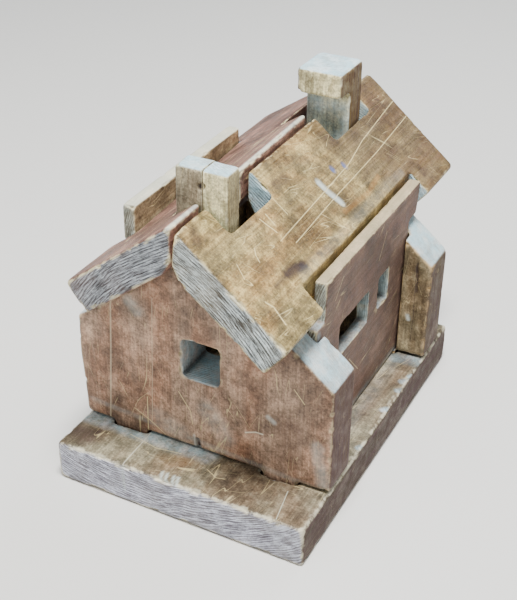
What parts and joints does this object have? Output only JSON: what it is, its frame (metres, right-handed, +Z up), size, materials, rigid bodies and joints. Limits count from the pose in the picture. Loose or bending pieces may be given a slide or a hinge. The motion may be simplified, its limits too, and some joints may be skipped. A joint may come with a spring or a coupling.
{
  "type": "toy house",
  "caption": "Take-apart wooden toy house: thick boards dry-fitted on a base, with a pitched roof and chimneys that lift off.",
  "frame": {"origin": "centre of the base's underside, on the plane the house stands on", "axes": "+Z up, +Y along the ridge towards the far chimney, +X towards the front wall with the openings"},
  "size_m": [0.127, 0.199, 0.1662],
  "materials": {
    "base_wood": "matt, worn",
    "gable_wood": "matt, worn",
    "wall_wood": "matt, worn",
    "front_roof_wood": "satin, handled",
    "back_roof_wood": "satin, handled",
    "brown_chimney_wood": "matt, worn",
    "yellow_chimney_wood": "matt, worn"
  },
  "bodies": {
    "base": {"base": "base_wood"},
    "near_gable": {"near_gable": "gable_wood"},
    "far_gable": {"far_gable": "gable_wood"},
    "front_wall": {"front_wall": "wall_wood"},
    "back_wall": {"back_wall": "wall_wood"},
    "roof_front": {"roof_front": "front_roof_wood"},
    "roof_back": {"roof_back": "back_roof_wood"},
    "near_chimney": {"near_chimney_left_half": "brown_chimney_wood", "near_chimney_right_half": "yellow_chimney_wood"},
    "far_chimney": {"far_chimney": "yellow_chimney_wood"}
  },
  "joints": [
    {"name": "near_gable_lift", "type": "slide", "parent": "base", "child": "near_gable", "axis": [0, 0, 1], "range_m": [0, 0.02]},
    {"name": "far_gable_lift", "type": "slide", "parent": "base", "child": "far_gable", "axis": [0, 0, 1], "range_m": [0, 0.02]},
    {"name": "front_wall_lift", "type": "slide", "parent": "near_gable", "child": "front_wall", "axis": [0, 0, 1], "range_m": [0, 0.075]},
    {"name": "back_wall_lift", "type": "slide", "parent": "near_gable", "child": "back_wall", "axis": [0, 0, 1], "range_m": [0, 0.075]},
    {"name": "roof_front_lift", "type": "slide", "parent": "near_gable", "child": "roof_front", "axis": [0, 0, 1], "range_m": [0, 0.055]},
    {"name": "roof_back_lift", "type": "slide", "parent": "back_wall", "child": "roof_back", "axis": [0, 0, 1], "range_m": [0, 0.055]},
    {"name": "near_chimney_lift", "type": "slide", "parent": "near_gable", "child": "near_chimney", "axis": [0, 0, 1], "range_m": [0, 0.06]},
    {"name": "far_chimney_lift", "type": "slide", "parent": "far_gable", "child": "far_chimney", "axis": [0, 0, 1], "range_m": [0, 0.06]}
  ],
  "couplings": [
    {"joint": "far_gable_lift", "follows": "near_gable_lift", "ratio": 1}
  ]
}
